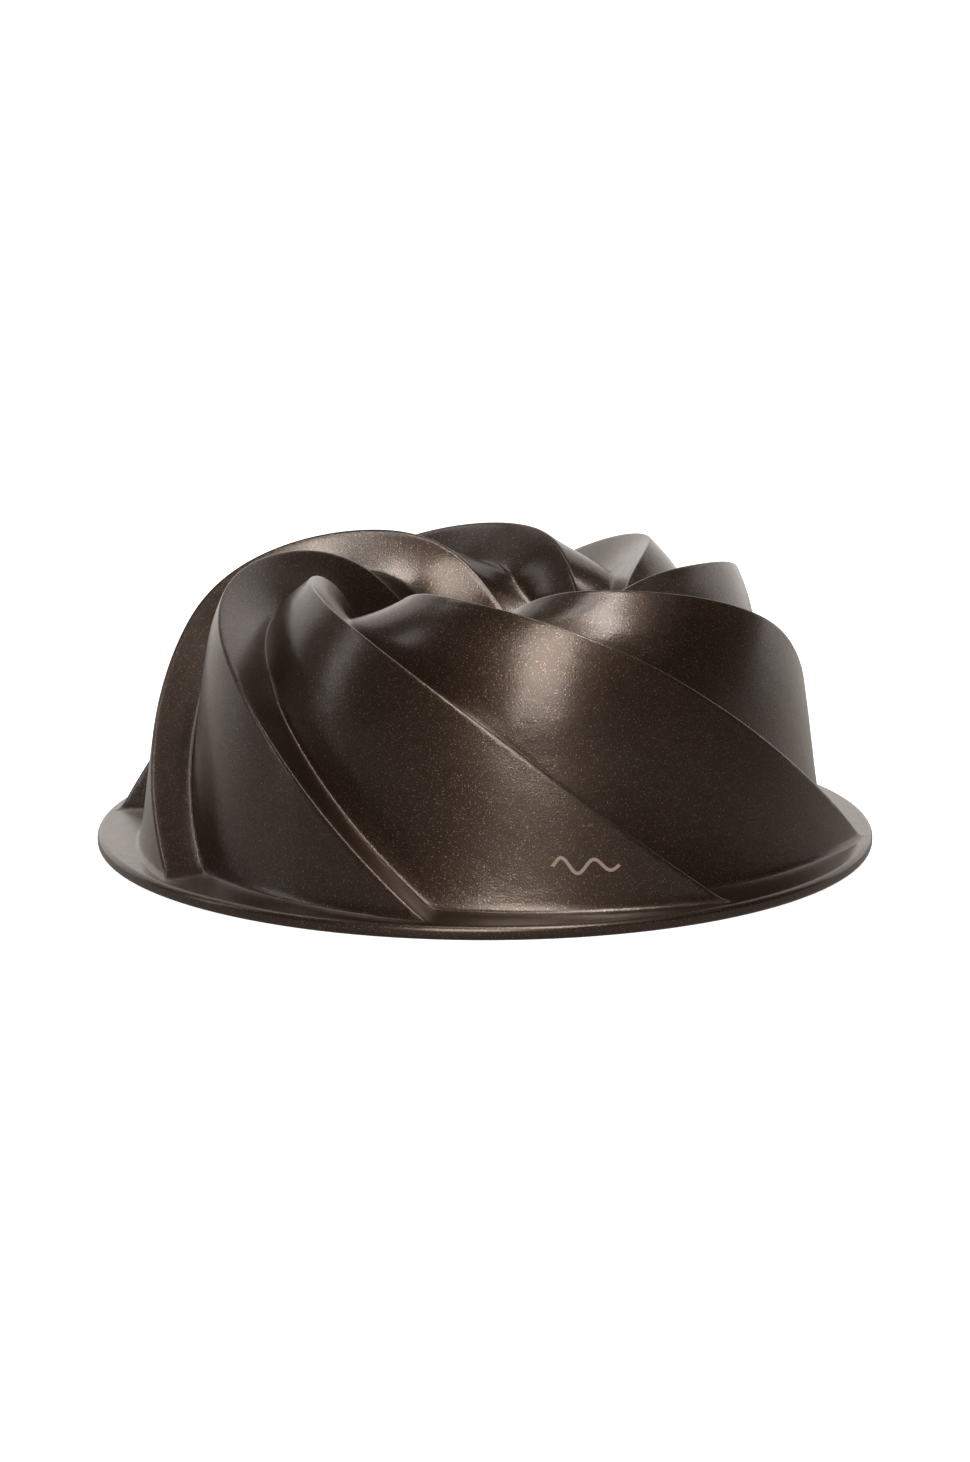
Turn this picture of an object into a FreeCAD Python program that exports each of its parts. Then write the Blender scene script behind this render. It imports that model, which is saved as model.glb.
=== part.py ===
import FreeCAD, Part
import math
import os

os.makedirs("parts", exist_ok=True)

# A swirl-pattern ring cake pan standing upside down on its flat rim.
# Millimetres and degrees. +Z is up, -Y is the front, and the origin is the centre
# of the face that the pan rests on. Heights are measured from that face.
#
# The pan is one casting with a coating outside and a coating inside. Its skin
# repeats one petal: a broad wall climbs from a valley line to a crest line, and
# a ledge drops from the crest to the valley of the next petal. Both lines run up
# a meridian profile, over the crown and down the centre tube while they turn.

# Driving dimensions.
PETALS = 8
RIM_RADIUS = 130.0
RIM_THICKNESS = 4.6
RIM_EDGE_ROUND = 1.8
CROWN_HEIGHT = 95.3
METAL_THICKNESS = 2.8
COAT_THICKNESS = 0.35
TUBE_END_HEIGHT = 10.0
TUBE_END_RADIUS = 14.0

# Crest line in the meridian plane.
CREST_BASE_RADIUS = 128.0
CREST_DRAFT = 20.4
CREST_SHOULDER_ROUND = 35.0
CREST_NOSE_ROUND = 24.0
CREST_NOSE_RADIUS = 51.0
CREST_NOSE_START = 49.0
CREST_TUBE_START = 45.0

# Valley line in the meridian plane.
VALLEY_BASE_RADIUS = 113.8
VALLEY_DRAFT = 21.7
VALLEY_SHOULDER_HEIGHT = 65.6
VALLEY_SHOULDER_ROUND = 35.0
VALLEY_NOSE_RADIUS = 55.5
VALLEY_NOSE_HEIGHT = 88.0
VALLEY_NOSE_ROUND = 12.0
VALLEY_NOSE_START = 67.0
VALLEY_TUBE_START = 50.5

# Swirl: the angle between each line and its meridian, the bearing of one crest
# at the start of its profile, and how far the lines turn in all. The slant of a
# crest grows between a height on the wall and a radius on the crown.
CREST_WALL_SLANT = 50.0
CREST_WALL_HEIGHT = 65.0
CREST_CROWN_SLANT = 58.8
CREST_CROWN_RADIUS = 99.0
VALLEY_SLANT = 48.7
CREST_BEARING = 89.6
NOSE_TURN = 133.0
TOTAL_TURN = 220.0
LEDGE_TURN = 0.3
TUBE_LEDGE_TURN = 18.0
LEDGE_WIDENS_FROM = 70.0
LEDGE_WIDENS_TO = 140.0
FLUTE_DEPTH_AT_TUBE_END = 0.5

# Broad wall: hollow near the rim, bulging on the shoulder and hollow again at the
# nose, each as a share of its depth, and the turns where the last two are reached.
WALL_HOLLOW = 0.10
WALL_BULGE = 0.06
WALL_BULGE_TURN = 50.0
NOSE_HOLLOW = 0.06
NOSE_HOLLOW_TURN = 110.0

# Softened corners: the distance over which each corner is turned, and the
# largest share of a wall or ledge that a corner takes up.
CREST_SOFTENING = 3.0
VALLEY_SOFTENING = 2.4
RIM_SOFTENING = 1.6
LARGEST_SHARE = 0.45

# Printed flourish, a plain wave low on one petal.
MARK_BEARING = 15.6
MARK_HEIGHT = 19.0
MARK_LENGTH = 20.0
MARK_SWING = 2.8
MARK_WAVES = 2.0
MARK_STROKE = 1.0
MARK_THICKNESS = 0.2
MARK_POINTS = 33
WALL_SEARCH_STEPS = 3

# Skins: degrees between rows, spans across a wall, spacing of profile points,
# length of profile over which a turn is evened out, how far the profiles run on
# past the rest plane and the tube end, how far a corner may move in thicknesses,
# and the least distance between a row and the plane of a foot or tube end.
TURN_STEP = 5.0
WALL_SPANS = 7
TRACE_STEP = 0.5
EVENING_REACH = 28.0
RUN_OUT = 9.0
LONGEST_MITRE = 1.8
ROW_CLEARANCE = 0.5

# Tolerances for telling level edges and for sewing faces.
LEVEL_TOLERANCE = 1e-3
SEWING_TOLERANCE = 1e-4

ORIGIN = FreeCAD.Vector(0, 0, 0)
UP = FreeCAD.Vector(0, 0, 1)
PITCH = 360.0 / PETALS
ROW_TURNS = [i * TURN_STEP for i in range(int(TOTAL_TURN / TURN_STEP) + 1)]
METAL_OUTSIDE = COAT_THICKNESS
METAL_INSIDE = METAL_OUTSIDE + METAL_THICKNESS
COATED_INSIDE = METAL_INSIDE + COAT_THICKNESS


def mix(a, b, t):
    """The value that lies the fraction t of the way from a to b."""
    return a + (b - a) * t


def smooth_step(t):
    """A ramp from 0 to 1 with level ends."""
    t = min(max(t, 0.0), 1.0)
    return t * t * (3.0 - 2.0 * t)


# Meridian profiles.

def rounded_profile(corners, rounds):
    """Points along a path of straight lines whose inner corners are arcs."""
    edges = Part.makePolygon([FreeCAD.Vector(r, 0, z) for r, z in corners]).Edges
    path = [edges[0]]
    for edge, radius in zip(edges[1:], rounds):
        path = path[:-1] + arc_between(path[-1], edge, radius)
    wire = Part.Wire(path)
    count = int(wire.Length / TRACE_STEP)
    return [(p.x, p.z) for p in wire.discretize(Number=count)]


def arc_between(first, second, radius):
    """Two meeting straight edges shortened to take a tangent arc between them."""
    start = first.Vertexes[0].Point
    corner = first.Vertexes[-1].Point
    end = second.Vertexes[-1].Point
    back = (start - corner).normalize()
    ahead = (end - corner).normalize()
    half = back.getAngle(ahead) / 2.0
    reach = radius / math.tan(half)
    inwards = (back + ahead).normalize()
    tangent_in = corner + back * reach
    tangent_out = corner + ahead * reach
    middle = corner + inwards * (radius / math.sin(half) - radius)
    return [
        Part.makeLine(start, tangent_in),
        Part.Arc(tangent_in, middle, tangent_out).toShape(),
        Part.makeLine(tangent_out, end),
    ]


def crest_profile():
    """Meridian profile of the crests, from the rest plane to the tube end."""
    lean = math.tan(math.radians(CREST_DRAFT))
    corners = [
        (CREST_BASE_RADIUS + RUN_OUT * lean, -RUN_OUT),
        (CREST_BASE_RADIUS - CROWN_HEIGHT * lean, CROWN_HEIGHT),
        (CREST_NOSE_RADIUS, CROWN_HEIGHT),
        (TUBE_END_RADIUS, TUBE_END_HEIGHT - RUN_OUT),
    ]
    return rounded_profile(corners, [CREST_SHOULDER_ROUND, CREST_NOSE_ROUND])


def valley_profile():
    """Meridian profile of the valleys, from the rest plane to the tube end."""
    lean = math.tan(math.radians(VALLEY_DRAFT))
    corners = [
        (VALLEY_BASE_RADIUS + RUN_OUT * lean, -RUN_OUT),
        (VALLEY_BASE_RADIUS - VALLEY_SHOULDER_HEIGHT * lean, VALLEY_SHOULDER_HEIGHT),
        (VALLEY_NOSE_RADIUS, VALLEY_NOSE_HEIGHT),
        (TUBE_END_RADIUS + FLUTE_DEPTH_AT_TUBE_END, TUBE_END_HEIGHT - RUN_OUT),
    ]
    return rounded_profile(corners, [VALLEY_SHOULDER_ROUND, VALLEY_NOSE_ROUND])


# Swirl.

def crest_slant(radius):
    """Tangent of the angle between a crest and its meridian at a radius."""
    wall_radius = CREST_BASE_RADIUS - CREST_WALL_HEIGHT * math.tan(math.radians(CREST_DRAFT))
    t = (wall_radius - radius) / (wall_radius - CREST_CROWN_RADIUS)
    angle = mix(CREST_WALL_SLANT, CREST_CROWN_SLANT, smooth_step(t))
    return math.tan(math.radians(angle))


def valley_slant(radius):
    """Tangent of the angle between a valley and its meridian, alike at any radius."""
    return math.tan(math.radians(VALLEY_SLANT))


def turns_along(profile, slant, nose_start, tube_start):
    """How far, in degrees, a line has turned at each point of its profile.

    The slant is given as far as the radius where the nose starts. From there to
    the tube, and down the tube, it is whatever brings the line to the set turns."""
    turns = [0.0]
    goals = [(nose_start, None), (tube_start, NOSE_TURN), (0.0, TOTAL_TURN)]
    arcs = [polar_length(a, b) for a, b in zip(profile, profile[1:])]
    middles = [(a[0] + b[0]) / 2.0 for a, b in zip(profile, profile[1:])]
    outer_limit = math.inf
    for inner_limit, goal in goals:
        stretch = [(arc, r) for arc, r in zip(arcs, middles) if inner_limit <= r < outer_limit]
        if goal is None:
            steps = [arc * slant(r) for arc, r in stretch]
        else:
            share = (goal - turns[-1]) / sum(arc for arc, r in stretch)
            steps = [arc * share for arc, r in stretch]
        for step in steps:
            turns.append(turns[-1] + step)
        outer_limit = inner_limit
    return evened(turns, int(EVENING_REACH / TRACE_STEP))


def evened(values, reach):
    """A list with each value averaged over its neighbours; the ends stay put."""
    last = len(values) - 1
    even = []
    for i in range(len(values)):
        half = min(reach, i, last - i)
        window = values[i - half:i + half + 1]
        even.append(sum(window) / len(window))
    return even


def polar_length(a, b):
    """Length of a profile step over its radius, in degrees."""
    return math.degrees(math.hypot(b[0] - a[0], b[1] - a[1]) / ((a[0] + b[0]) / 2.0))


def point_at_turn(profile, turns, turn):
    """The profile point where a line has turned this far."""
    for i in range(1, len(turns)):
        if turns[i] >= turn:
            break
    span = turns[i] - turns[i - 1]
    t = (turn - turns[i - 1]) / span if span > 0.0 else 1.0
    return tuple(mix(a, b, t) for a, b in zip(profile[i - 1], profile[i]))


# Petal rows: each row sits at one turn of the lines, its points go round the pan.

def on_pan(radius, height, bearing):
    """A point from radius, height and bearing; bearings run from front to +X."""
    angle = math.radians(bearing)
    return FreeCAD.Vector(radius * math.sin(angle), -radius * math.cos(angle), height)


def polar(point):
    """Radius, height and bearing of a point."""
    bearing = math.degrees(math.atan2(point.x, -point.y))
    return math.hypot(point.x, point.y), point.z, bearing


def turned(point, petals):
    """A point carried round the pan by whole petals."""
    return FreeCAD.Rotation(UP, petals * PITCH).multVec(point)


def wall_share(u, turn):
    """How far towards the crest profile the broad wall stands at fraction u."""
    bulge = mix(-WALL_HOLLOW, WALL_BULGE, smooth_step(turn / WALL_BULGE_TURN))
    nose_share = (turn - WALL_BULGE_TURN) / (NOSE_HOLLOW_TURN - WALL_BULGE_TURN)
    bulge = mix(bulge, -NOSE_HOLLOW, smooth_step(nose_share))
    fade = 1.0 - smooth_step((turn - NOSE_TURN) / (TOTAL_TURN - NOSE_TURN))
    return u + 4.0 * bulge * fade * u * (1.0 - u)


def wall_row(valley, crest, turn):
    """Points across one broad wall, from its valley point to its crest point."""
    valley_radius, valley_height, valley_bearing = polar(valley)
    crest_radius, crest_height, crest_bearing = polar(crest)
    span = (crest_bearing - valley_bearing) % 360.0
    row = []
    for i in range(WALL_SPANS + 1):
        u = i / WALL_SPANS
        share = wall_share(u, turn)
        row.append(on_pan(
            mix(valley_radius, crest_radius, share),
            mix(valley_height, crest_height, share),
            valley_bearing + u * span,
        ))
    return row


def outer_rows():
    """Sharp-cornered wall rows of one petal on the outside of the pan."""
    crest = crest_profile()
    valley = valley_profile()
    crest_turns = turns_along(crest, crest_slant, CREST_NOSE_START, CREST_TUBE_START)
    valley_turns = turns_along(valley, valley_slant, VALLEY_NOSE_START, VALLEY_TUBE_START)
    rows = []
    for turn in ROW_TURNS:
        widening = (turn - LEDGE_WIDENS_FROM) / (LEDGE_WIDENS_TO - LEDGE_WIDENS_FROM)
        ledge_turn = mix(LEDGE_TURN, TUBE_LEDGE_TURN, smooth_step(widening))
        crest_point = on_pan(
            *point_at_turn(crest, crest_turns, turn),
            CREST_BEARING - turn,
        )
        valley_point = on_pan(
            *point_at_turn(valley, valley_turns, turn),
            CREST_BEARING - turn + ledge_turn - PITCH,
        )
        rows.append(wall_row(valley_point, crest_point, turn))
    return rows


def strip_normal(starts, ends, i):
    """Outward normal at row i of the strip between two columns of points."""
    low = max(i - 1, 0)
    high = min(i + 1, len(starts) - 1)
    along = (starts[high] + ends[high]) - (starts[low] + ends[low])
    return (ends[i] - starts[i]).cross(along).normalize()


def mitred(point, first_normal, second_normal, distance):
    """A corner point moved inwards so that both its faces move by a distance."""
    middle = (first_normal + second_normal).normalize()
    reach = min(1.0 / middle.dot(first_normal), LONGEST_MITRE)
    return point - middle * (reach * distance)


def inset_rows(distance):
    """Wall rows of a skin that lies a distance inside the outer one."""
    columns = list(zip(*OUTER_ROWS))
    next_valleys = [turned(point, 1) for point in columns[0]]
    last_crests = [turned(point, -1) for point in columns[-1]]
    rows = []
    for i, turn in enumerate(ROW_TURNS):
        ledge_before = strip_normal(last_crests, columns[0], i)
        wall_start = strip_normal(columns[0], columns[1], i)
        wall_end = strip_normal(columns[-2], columns[-1], i)
        ledge_after = strip_normal(columns[-1], next_valleys, i)
        valley = mitred(columns[0][i], ledge_before, wall_start, distance)
        crest = mitred(columns[-1][i], wall_end, ledge_after, distance)
        rows.append(wall_row(valley, crest, turn))
    return rows


def finished_row(row):
    """A row with its ledge added and its valley and crest softened."""
    valley, first = row[0], row[1]
    last, crest = row[-2], row[-1]
    valley_after = turned(valley, 1)
    crest_before = turned(crest, -1)
    ledge_top = towards(crest, valley_after, CREST_SOFTENING)
    ledge_foot = towards(valley_after, crest, VALLEY_SOFTENING)
    return [
        valley,
        towards(valley, first, VALLEY_SOFTENING),
        *row[1:-1],
        towards(crest, last, CREST_SOFTENING),
        crest,
        ledge_top,
        (ledge_top + ledge_foot) * 0.5,
        ledge_foot,
    ]


def towards(point, goal, distance):
    """A point moved a distance towards another, at most by the largest share."""
    way = goal - point
    return point + way * min(distance / way.Length, LARGEST_SHARE)


def row_at_height(rows, height):
    """The points where the columns of some rows cross a height."""
    crossing = []
    for column in zip(*rows):
        a, b = next(pair for pair in zip(column, column[1:])
                    if (pair[0].z - height) * (pair[1].z - height) <= 0.0)
        t = (height - a.z) / (b.z - a.z)
        crossing.append(FreeCAD.Vector(mix(a.x, b.x, t), mix(a.y, b.y, t), height))
    return crossing


def skin_rows(depth, foot_height):
    """Rows of a skin that lies a depth below the outside of the pan.

    The first two rows lie in the plane of the foot, so the wall meets it softly."""
    rows = inset_rows(depth)
    wider_rows = inset_rows(depth - RIM_SOFTENING)
    half = len(rows) // 2
    foot_limit = foot_height + ROW_CLEARANCE
    end_limit = TUBE_END_HEIGHT + ROW_CLEARANCE
    first = next(i for i, row in enumerate(rows) if lowest(row) > foot_limit)
    last = next(i for i, row in enumerate(rows) if i > half and lowest(row) < end_limit)
    trimmed = [
        row_at_height(wider_rows[:half], foot_height),
        row_at_height(rows[:half], foot_height),
        *rows[first:last],
        row_at_height(rows[:half:-1], TUBE_END_HEIGHT),
    ]
    return [finished_row(row) for row in trimmed]


def lowest(row):
    """The least height in a row of points."""
    return min(point.z for point in row)


def skin_surface(depth, foot_height):
    """One smooth surface, closed round the pan, through all petals of a skin."""
    poles = []
    for row in skin_rows(depth, foot_height):
        poles.append([turned(point, k) for k in range(PETALS) for point in row])
    row_knots = list(range(len(poles) - 2))
    row_mults = [4] + [1] * (len(poles) - 4) + [4]
    column_knots = list(range(len(poles[0]) + 1))
    column_mults = [1] * len(column_knots)
    surface = Part.BSplineSurface()
    surface.buildFromPolesMultsKnots(
        poles, row_mults, column_mults, row_knots, column_knots,
        False, True, 3, 3,
    )
    return surface


def skin(depth, foot_height):
    """The faces of a skin, one for each petal, and its foot and tube-end wires."""
    surface = skin_surface(depth, foot_height)
    u_first, u_last, v_first, v_last = surface.bounds()
    surface.segment(u_first, u_last, v_first, v_first + (v_last - v_first) / PETALS)
    petal = surface.toShape()
    faces = [petal.rotated(ORIGIN, UP, k * PITCH) for k in range(PETALS)]
    edges = [edge for face in faces for edge in face.Edges]
    level_edges = [edge for edge in edges if edge.BoundBox.ZLength < LEVEL_TOLERANCE]
    foot_limit = foot_height + LEVEL_TOLERANCE
    foot_edges = [edge for edge in level_edges if edge.Vertexes[0].Z < foot_limit]
    end_edges = [edge for edge in level_edges if edge.Vertexes[0].Z > foot_limit]
    return faces, closed_wire(foot_edges), closed_wire(end_edges)


def closed_wire(edges):
    """One wire through edges that meet end to end."""
    return Part.Wire(Part.__sortEdges__(edges))


# Flat rings, rim edge and bodies.

def circle_wire(radius, height):
    """A level circle round the pan axis."""
    return Part.Wire(Part.makeCircle(radius, FreeCAD.Vector(0, 0, height)))


def level_ring(outer, inner):
    """A flat face between two level closed wires."""
    return Part.makeFace([outer, inner], "Part::FaceMakerBullseye")


def rim_edge(depth):
    """The rounded edge of the rim, a depth below the outside of the pan.

    It runs from the top face of the rim round to the start of its rest face."""
    centre_radius = RIM_RADIUS - RIM_EDGE_ROUND
    round_radius = RIM_EDGE_ROUND - depth
    low = RIM_EDGE_ROUND
    high = RIM_THICKNESS - RIM_EDGE_ROUND
    outermost = centre_radius + round_radius
    slant = round_radius * math.sqrt(0.5)
    lower_arc = Part.Arc(
        FreeCAD.Vector(centre_radius, 0, low - round_radius),
        FreeCAD.Vector(centre_radius + slant, 0, low - slant),
        FreeCAD.Vector(outermost, 0, low),
    ).toShape()
    side = Part.makeLine(
        FreeCAD.Vector(outermost, 0, low),
        FreeCAD.Vector(outermost, 0, high),
    )
    upper_arc = Part.Arc(
        FreeCAD.Vector(outermost, 0, high),
        FreeCAD.Vector(centre_radius + slant, 0, high + slant),
        FreeCAD.Vector(centre_radius, 0, high + round_radius),
    ).toShape()
    return Part.Wire([lower_arc, side, upper_arc]).revolve(ORIGIN, UP, 360).Faces


def coat_edge():
    """The short upright band where the two coatings meet under the rim."""
    circle = Part.makeCircle(RIM_RADIUS - RIM_EDGE_ROUND)
    return circle.extrude(UP * COAT_THICKNESS).Faces


def solid_from(faces):
    """One closed solid sewn from its faces."""
    shell = Part.makeShell(faces)
    shell.sewShape(SEWING_TOLERANCE)
    shape = Part.makeSolid(Part.Shell(shell.Faces))
    if shape.Volume < 0:
        shape.reverse()
    return shape


def cast_body():
    """The aluminium casting: petals, crown, rim and centre tube in one piece."""
    outer, outer_foot, outer_end = skin(METAL_OUTSIDE, RIM_THICKNESS - COAT_THICKNESS)
    inner, inner_foot, inner_end = skin(METAL_INSIDE, COAT_THICKNESS)
    top_circle = circle_wire(RIM_RADIUS - RIM_EDGE_ROUND, RIM_THICKNESS - COAT_THICKNESS)
    bottom_circle = circle_wire(RIM_RADIUS - RIM_EDGE_ROUND, COAT_THICKNESS)
    return solid_from([
        *outer,
        *inner,
        level_ring(inner_end, outer_end),
        level_ring(top_circle, outer_foot),
        level_ring(bottom_circle, inner_foot),
        *rim_edge(COAT_THICKNESS),
    ])


def exterior_coating():
    """The metallic coating on petals, crown, funnel and the top of the rim."""
    outer, outer_foot, outer_end = skin(0.0, RIM_THICKNESS)
    inner, inner_foot, inner_end = skin(METAL_OUTSIDE, RIM_THICKNESS - COAT_THICKNESS)
    outer_circle = circle_wire(RIM_RADIUS - RIM_EDGE_ROUND, RIM_THICKNESS)
    inner_circle = circle_wire(RIM_RADIUS - RIM_EDGE_ROUND, RIM_THICKNESS - COAT_THICKNESS)
    return solid_from([
        *outer,
        *inner,
        level_ring(inner_end, outer_end),
        level_ring(outer_circle, outer_foot),
        level_ring(inner_circle, inner_foot),
        *rim_edge(0.0),
        *rim_edge(COAT_THICKNESS),
        *coat_edge(),
    ])


def interior_coating():
    """The release coating in the cavity, up the tube and on the rest face."""
    outer, outer_foot, outer_end = skin(METAL_INSIDE, COAT_THICKNESS)
    inner, inner_foot, inner_end = skin(COATED_INSIDE, 0.0)
    return solid_from([
        *outer,
        *inner,
        level_ring(inner_end, outer_end),
        level_ring(circle_wire(RIM_RADIUS - RIM_EDGE_ROUND, COAT_THICKNESS), outer_foot),
        level_ring(circle_wire(RIM_RADIUS - RIM_EDGE_ROUND, 0.0), inner_foot),
        *coat_edge(),
    ])


def flourish_point(surface, t, side, lift):
    """A point of the flourish: t runs along it, side across it, lift off the wall."""
    phase = 2.0 * math.pi * MARK_WAVES * t
    swing = MARK_SWING * (1.0 - 0.5 * t)
    slope = swing * 2.0 * math.pi * MARK_WAVES / MARK_LENGTH * math.cos(phase)
    across = side * MARK_STROKE / 2.0
    run = MARK_LENGTH * (t - 0.5) - across * slope / math.hypot(1.0, slope)
    rise = swing * math.sin(phase) + across / math.hypot(1.0, slope)
    radius = VALLEY_BASE_RADIUS
    bearing = MARK_BEARING + math.degrees(run / radius)
    for _ in range(WALL_SEARCH_STEPS):
        u, v = surface.parameter(on_pan(radius, MARK_HEIGHT + rise, bearing))
        radius = polar(surface.value(u, v))[0]
    return surface.value(u, v) + surface.normal(u, v) * lift


def printed_mark():
    """A thin printed flourish that follows the wall of one petal."""
    surface = skin_surface(0.0, RIM_THICKNESS)
    sheets = []
    for lift in (0.0, MARK_THICKNESS):
        points = [
            [flourish_point(surface, i / (MARK_POINTS - 1), side, lift) for side in (-1, 0, 1)]
            for i in range(MARK_POINTS)
        ]
        sheet = Part.BSplineSurface()
        sheet.interpolate(points)
        sheets.append(sheet.toShape())
    under, over = sheets
    sides = [
        Part.makeRuledSurface(low, high)
        for low, high in zip(under.Edges, over.Edges)
    ]
    return solid_from([under, over, *sides])


def export(name, shape):
    """Write one sub-part, after making sure that it is one sound solid."""
    assert shape.isValid() and shape.Volume > 0, name
    shape.exportStep("parts/" + name + ".step")


OUTER_ROWS = outer_rows()

export("cast_body", cast_body())
export("exterior_coating", exterior_coating())
export("interior_coating", interior_coating())
export("printed_mark", printed_mark())
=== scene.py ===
import math

import bpy
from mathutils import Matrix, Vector


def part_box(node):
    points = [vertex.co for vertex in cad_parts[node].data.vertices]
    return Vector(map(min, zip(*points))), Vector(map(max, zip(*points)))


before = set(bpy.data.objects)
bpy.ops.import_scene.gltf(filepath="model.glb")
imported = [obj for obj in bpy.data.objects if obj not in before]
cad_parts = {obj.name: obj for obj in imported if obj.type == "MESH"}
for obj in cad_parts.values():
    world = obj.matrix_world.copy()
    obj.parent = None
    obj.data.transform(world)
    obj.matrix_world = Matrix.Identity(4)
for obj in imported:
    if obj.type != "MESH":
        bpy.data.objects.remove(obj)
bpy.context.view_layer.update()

# Sizes, in metres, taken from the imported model.
PAN_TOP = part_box("exterior_coating")[1]
RIM_RADIUS = PAN_TOP.x
PAN_HEIGHT = PAN_TOP.z
FLAKE_SIZE = RIM_RADIUS / 620.0
PEEL_SIZE = RIM_RADIUS / 210.0
PATCH_SIZE = RIM_RADIUS / 6.0
WEAR_SIZE = RIM_RADIUS / 30.0

# Most of a noise texture's values lie between these two.
NOISE_LOW = 0.3
NOISE_HIGH = 0.7

# A cell of the coating is a metal flake when its random value is above the start;
# the brightest flakes are those above the second value.
FLAKE_START = 0.80
FLAKE_BRIGHT = 0.97

# Paper sweep: its floor lies a hair below the pan and bends up behind it.
FLOOR_GAP = RIM_RADIUS / 1300.0
SWEEP_REACH = RIM_RADIUS * 30.0
SWEEP_BEND = RIM_RADIUS * 10.0
SWEEP_BEND_RADIUS = RIM_RADIUS * 6.0
SWEEP_TOP = RIM_RADIUS * 26.0
SWEEP_STEPS = 16
PAPER_MOTTLE = 0.5

# Glow of the paper sweep: as the camera sees it, and as it lights the pan. The
# surround beyond the paper lights the pan by the last value.
CAMERA_GLOW = 0.85
FRONT_GLOW = 0.02
BACK_GLOW = 1.00
SURROUND_LIGHT = 0.015

# Camera: rim radii from the pan, and degrees above the floor and of upward tilt.
CAMERA_DISTANCE = RIM_RADIUS * 10.0
CAMERA_ELEVATION = 14.42
CAMERA_TILT = 1.55
CAMERA_LENS = 94.9
CAMERA_SENSOR = 36.0
CAMERA_CLIP = 0.05

# Lamp colours, and the lamps: name, azimuth from the front to the right, elevation,
# distance, width, height, power and colour.
WHITE = (1.0, 1.0, 1.0)
WARM_WHITE = (1.0, 0.97, 0.94)
WARM = (1.0, 0.95, 0.90)
AMBER = (1.0, 0.91, 0.82)
LAMPS = (
    ("key_low", -4.0, 25.0, 1.6, 0.60, 1.1, 22.0, AMBER),
    ("key_high", 27.0, 58.0, 1.6, 0.35, 1.0, 18.0, WARM),
    ("left_strip", -85.0, 20.0, 1.8, 0.30, 1.2, 3.0, WHITE),
    ("left_high", -108.0, 58.0, 1.8, 0.5, 0.5, 2.5, WHITE),
    ("top", 0.0, 84.0, 1.8, 0.4, 0.4, 4.0, WARM_WHITE),
)

# Sockets of the Mix node, which go by number: one factor, then a pair of inputs
# and an output for values, and another such set for colours.
MIX_FACTOR = 0
MIX_VALUES = (2, 3)
MIX_VALUE_OUT = 0
MIX_COLOURS = (6, 7)
MIX_COLOUR_OUT = 2


# Node helpers.

def new_material(name):
    """A material with its node tree cleared down to one Principled shader."""
    material = bpy.data.materials.new(name)
    material.use_nodes = True
    nodes = material.node_tree.nodes
    nodes.clear()
    output = nodes.new("ShaderNodeOutputMaterial")
    shader = nodes.new("ShaderNodeBsdfPrincipled")
    material.node_tree.links.new(shader.outputs["BSDF"], output.inputs["Surface"])
    return material, shader


def object_coordinates(material):
    """The socket that gives a point's place on the object, in metres."""
    return material.node_tree.nodes.new("ShaderNodeTexCoord").outputs["Object"]


def add_noise(material, size, detail=2.0):
    """Noise whose blobs are about this size; returns its value socket."""
    node = material.node_tree.nodes.new("ShaderNodeTexNoise")
    node.inputs["Scale"].default_value = 1.0 / size
    node.inputs["Detail"].default_value = detail
    material.node_tree.links.new(object_coordinates(material), node.inputs["Vector"])
    return node.outputs["Fac"]


def add_cells(material, size):
    """Random cells of about this size; returns a random value from 0 to 1 for each."""
    node = material.node_tree.nodes.new("ShaderNodeTexVoronoi")
    node.inputs["Scale"].default_value = 1.0 / size
    material.node_tree.links.new(object_coordinates(material), node.inputs["Vector"])
    split = material.node_tree.nodes.new("ShaderNodeSeparateColor")
    material.node_tree.links.new(node.outputs["Color"], split.inputs["Color"])
    return split.outputs["Red"]


def add_ramp(material, source, stops):
    """A colour ramp over a value socket; stops are (position, rgb) pairs."""
    node = material.node_tree.nodes.new("ShaderNodeValToRGB")
    ramp = node.color_ramp
    ramp.elements[0].position = stops[0][0]
    ramp.elements[0].color = (*stops[0][1], 1.0)
    ramp.elements[1].position = stops[-1][0]
    ramp.elements[1].color = (*stops[-1][1], 1.0)
    for position, colour in stops[1:-1]:
        element = ramp.elements.new(position)
        element.color = (*colour, 1.0)
    material.node_tree.links.new(source, node.inputs["Fac"])
    return node.outputs["Color"]


def add_range(material, source, low, high, new_low, new_high):
    """A value socket rescaled and clamped from one range to another."""
    node = material.node_tree.nodes.new("ShaderNodeMapRange")
    node.inputs["From Min"].default_value = low
    node.inputs["From Max"].default_value = high
    node.inputs["To Min"].default_value = new_low
    node.inputs["To Max"].default_value = new_high
    material.node_tree.links.new(source, node.inputs["Value"])
    return node.outputs["Result"]


def noise_ramp(material, noise, first, second):
    """A colour that goes from the first to the second with a noise socket."""
    return add_ramp(material, noise, [(NOISE_LOW, first), (NOISE_HIGH, second)])


def noise_range(material, noise, first, second):
    """A value that goes from the first to the second with a noise socket."""
    return add_range(material, noise, NOISE_LOW, NOISE_HIGH, first, second)


def add_mix(material, factor, first, second):
    """A colour mixed between two colour sockets by a value socket."""
    node = material.node_tree.nodes.new("ShaderNodeMix")
    node.data_type = "RGBA"
    links = material.node_tree.links
    links.new(factor, node.inputs[MIX_FACTOR])
    links.new(first, node.inputs[MIX_COLOURS[0]])
    links.new(second, node.inputs[MIX_COLOURS[1]])
    return node.outputs[MIX_COLOUR_OUT]


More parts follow.
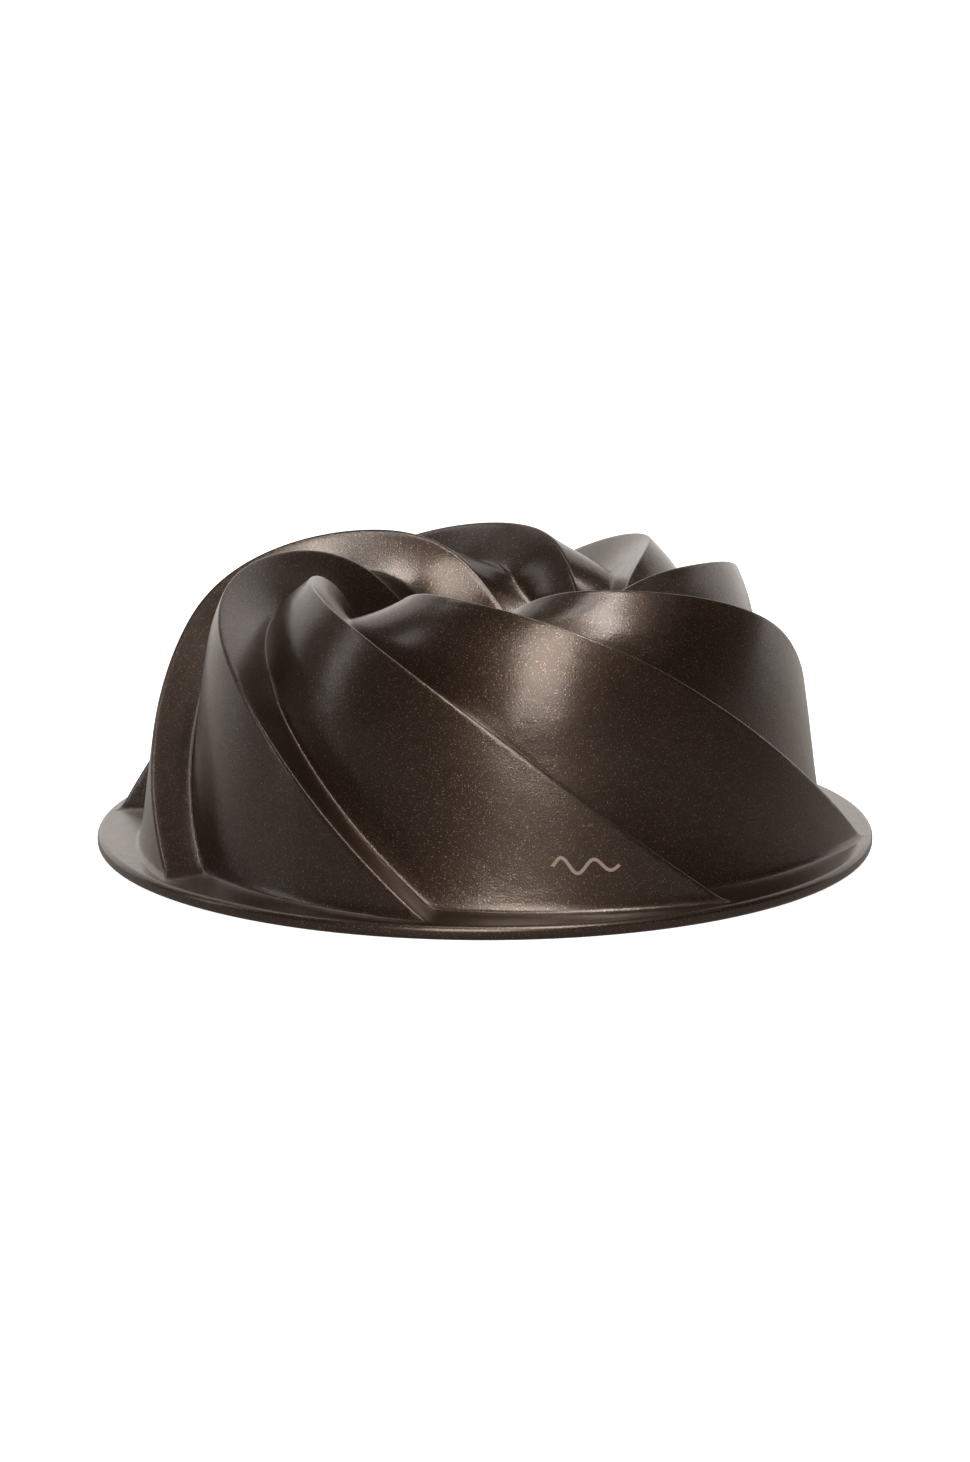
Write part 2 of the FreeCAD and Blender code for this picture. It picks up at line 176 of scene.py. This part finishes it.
def add_bump(material, height, distance, strength, normal=None):
    """A bump of this depth in metres; returns its normal socket."""
    node = material.node_tree.nodes.new("ShaderNodeBump")
    node.inputs["Distance"].default_value = distance
    node.inputs["Strength"].default_value = strength
    links = material.node_tree.links
    links.new(height, node.inputs["Height"])
    if normal is not None:
        links.new(normal, node.inputs["Normal"])
    return node.outputs["Normal"]


def camera_rays(tree):
    """The socket that is 1 for rays from the camera and 0 for all others."""
    return tree.nodes.new("ShaderNodeLightPath").outputs["Is Camera Ray"]


def camera_switch(tree, other, seen):
    """A Mix node that gives one value to camera rays and another to the rest."""
    node = tree.nodes.new("ShaderNodeMix")
    tree.links.new(camera_rays(tree), node.inputs[MIX_FACTOR])
    node.inputs[MIX_VALUES[0]].default_value = other
    node.inputs[MIX_VALUES[1]].default_value = seen
    return node


# Materials.

def metallic_coating():
    """Espresso-brown sprayed coating with fine metal flakes and a soft sheen."""
    material, shader = new_material("metallic_coating")
    links = material.node_tree.links
    patches = add_noise(material, PATCH_SIZE, detail=3.0)
    base = noise_ramp(material, patches, (0.012, 0.0064, 0.0045), (0.017, 0.0091, 0.0064))
    flake_pick = add_cells(material, FLAKE_SIZE)
    flake = add_range(material, flake_pick, FLAKE_START, 1.0, 0.0, 1.0)
    flake_colour = add_ramp(material, flake_pick, [
        (FLAKE_START, (0.035, 0.019, 0.012)),
        (FLAKE_BRIGHT, (0.110, 0.062, 0.036)),
        (1.0, (0.300, 0.185, 0.110)),
    ])
    links.new(add_mix(material, flake, base, flake_colour), shader.inputs["Base Color"])
    links.new(add_range(material, flake, 0.0, 1.0, 0.45, 0.90), shader.inputs["Metallic"])
    wear = add_noise(material, WEAR_SIZE)
    links.new(noise_range(material, wear, 0.31, 0.36), shader.inputs["Roughness"])
    peel = add_noise(material, PEEL_SIZE)
    peel_normal = add_bump(material, peel, PEEL_SIZE * 0.09, 0.7)
    tilt = add_bump(material, flake_pick, FLAKE_SIZE * 0.12, 0.5, peel_normal)
    links.new(tilt, shader.inputs["Normal"])
    shader.inputs["Specular Tint"].default_value = (1.0, 0.86, 0.74, 1.0)
    shader.inputs["Coat Weight"].default_value = 0.6
    shader.inputs["Coat Roughness"].default_value = 0.20
    links.new(peel_normal, shader.inputs["Coat Normal"])
    return material


def release_coating():
    """Dark grey-brown satin release coating with a faint speckle."""
    material, shader = new_material("release_coating")
    links = material.node_tree.links
    speckle = add_cells(material, FLAKE_SIZE)
    colour = add_ramp(material, speckle, [
        (0.0, (0.020, 0.017, 0.015)),
        (0.92, (0.026, 0.022, 0.019)),
        (1.0, (0.11, 0.10, 0.09)),
    ])
    links.new(colour, shader.inputs["Base Color"])
    grain = add_noise(material, PEEL_SIZE, detail=3.0)
    links.new(noise_range(material, grain, 0.42, 0.50), shader.inputs["Roughness"])
    links.new(add_bump(material, grain, PEEL_SIZE * 0.02, 0.3), shader.inputs["Normal"])
    return material


def cast_aluminium():
    """Bare cast aluminium, seen only at the end of the centre tube."""
    material, shader = new_material("cast_aluminium")
    links = material.node_tree.links
    grain = add_noise(material, PEEL_SIZE, detail=4.0)
    colour = noise_ramp(material, grain, (0.50, 0.50, 0.51), (0.62, 0.62, 0.63))
    links.new(colour, shader.inputs["Base Color"])
    shader.inputs["Metallic"].default_value = 1.0
    links.new(noise_range(material, grain, 0.38, 0.52), shader.inputs["Roughness"])
    links.new(add_bump(material, grain, PEEL_SIZE * 0.03, 0.4), shader.inputs["Normal"])
    return material


def mark_ink():
    """Matte warm-grey printing ink, slightly uneven."""
    material, shader = new_material("mark_ink")
    links = material.node_tree.links
    grain = add_noise(material, PEEL_SIZE * 0.5, detail=3.0)
    colour = noise_ramp(material, grain, (0.170, 0.130, 0.108), (0.215, 0.165, 0.138))
    links.new(colour, shader.inputs["Base Color"])
    links.new(noise_range(material, grain, 0.50, 0.62), shader.inputs["Roughness"])
    return material


def finish_node(node_name, material):
    """Give a CAD node one material for all its faces."""
    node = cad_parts[node_name]
    node.data.materials.clear()
    node.data.materials.append(material)


# Stage.

def sweep_paper():
    """White paper that looks evenly bright, but throws little light from the front.

    The camera sees the full glow. The pan is lit and mirrored by a glow that grows
    from the middle of the floor to the backdrop."""
    material, shader = new_material("sweep_paper")
    tree = material.node_tree
    mottle = add_noise(material, PAPER_MOTTLE, detail=1.0)
    paper = noise_ramp(material, mottle, (0.91, 0.91, 0.91), (0.93, 0.93, 0.93))
    dim_paper = noise_ramp(material, mottle, (0.24, 0.23, 0.22), (0.26, 0.25, 0.24))
    colour = add_mix(material, camera_rays(tree), dim_paper, paper)
    tree.links.new(colour, shader.inputs["Base Color"])
    place = tree.nodes.new("ShaderNodeSeparateXYZ")
    tree.links.new(object_coordinates(material), place.inputs["Vector"])
    thrown = add_range(material, place.outputs["Y"], 0.0, SWEEP_BEND, FRONT_GLOW, BACK_GLOW)
    glow = camera_switch(tree, FRONT_GLOW, CAMERA_GLOW)
    tree.links.new(thrown, glow.inputs[MIX_VALUES[0]])
    shader.inputs["Roughness"].default_value = 0.9
    shader.inputs["Emission Color"].default_value = (*WHITE, 1.0)
    tree.links.new(glow.outputs[MIX_VALUE_OUT], shader.inputs["Emission Strength"])
    return material


def mesh_object(name, points, faces):
    """A mesh object linked into the scene."""
    mesh = bpy.data.meshes.new(name)
    mesh.from_pydata(points, [], faces)
    mesh.update()
    thing = bpy.data.objects.new(name, mesh)
    bpy.context.scene.collection.objects.link(thing)
    return thing


def build_sweep():
    """A pale floor, a hair below the pan, that curves up into a pale backdrop."""
    profile = [(-SWEEP_REACH, -FLOOR_GAP), (SWEEP_BEND, -FLOOR_GAP)]
    for i in range(1, SWEEP_STEPS + 1):
        angle = math.pi / 2.0 * i / SWEEP_STEPS
        profile.append((
            SWEEP_BEND + SWEEP_BEND_RADIUS * math.sin(angle),
            SWEEP_BEND_RADIUS * (1.0 - math.cos(angle)) - FLOOR_GAP,
        ))
    profile.append((SWEEP_BEND + SWEEP_BEND_RADIUS, SWEEP_TOP))
    points = [(x, y, z) for y, z in profile for x in (-SWEEP_REACH, SWEEP_REACH)]
    faces = [(2 * i, 2 * i + 1, 2 * i + 3, 2 * i + 2) for i in range(len(profile) - 1)]
    sweep = mesh_object("sweep", points, faces)
    for polygon in sweep.data.polygons:
        polygon.use_smooth = True
    sweep.data.materials.append(sweep_paper())


def build_world():
    """A surround that looks white to the camera and lights the pan only dimly."""
    world = bpy.data.worlds.new("surround")
    world.use_nodes = True
    tree = world.node_tree
    strength = camera_switch(tree, SURROUND_LIGHT, 1.0)
    background = tree.nodes["Background"]
    background.inputs["Color"].default_value = (*WHITE, 1.0)
    tree.links.new(strength.outputs[MIX_VALUE_OUT], background.inputs["Strength"])
    bpy.context.scene.world = world


def add_softbox(name, azimuth, elevation, distance, width, height, power, colour):
    """A rectangular lamp aimed at the pan; azimuth runs from the front to the right."""
    lamp = bpy.data.lights.new(name, "AREA")
    lamp.shape = "RECTANGLE"
    lamp.size = width
    lamp.size_y = height
    lamp.energy = power
    lamp.color = colour
    holder = bpy.data.objects.new(name, lamp)
    a = math.radians(azimuth)
    e = math.radians(elevation)
    aim = Vector((0.0, 0.0, PAN_HEIGHT / 2.0))
    away = Vector((math.sin(a) * math.cos(e), -math.cos(a) * math.cos(e), math.sin(e)))
    holder.location = aim + away * distance
    holder.rotation_euler = away.to_track_quat("Z", "Y").to_euler()
    bpy.context.scene.collection.objects.link(holder)


def build_camera():
    """The camera: in front of the pan, a little above it and tilted up slightly."""
    elevation = math.radians(CAMERA_ELEVATION)
    tilt = math.radians(CAMERA_TILT)
    camera = bpy.data.cameras.new("camera")
    camera.lens = CAMERA_LENS
    camera.sensor_width = CAMERA_SENSOR
    camera.clip_start = CAMERA_CLIP
    holder = bpy.data.objects.new("camera", camera)
    holder.location = (
        0.0,
        -CAMERA_DISTANCE * math.cos(elevation),
        CAMERA_DISTANCE * math.sin(elevation),
    )
    holder.rotation_euler = (math.pi / 2.0 - elevation + tilt, 0.0, 0.0)
    bpy.context.scene.collection.objects.link(holder)
    bpy.context.scene.camera = holder


finish_node("cast_body", cast_aluminium())
finish_node("exterior_coating", metallic_coating())
finish_node("interior_coating", release_coating())
finish_node("printed_mark", mark_ink())

build_sweep()
build_world()
for lamp_settings in LAMPS:
    add_softbox(*lamp_settings)
build_camera()
bpy.context.scene.view_settings.view_transform = "Standard"
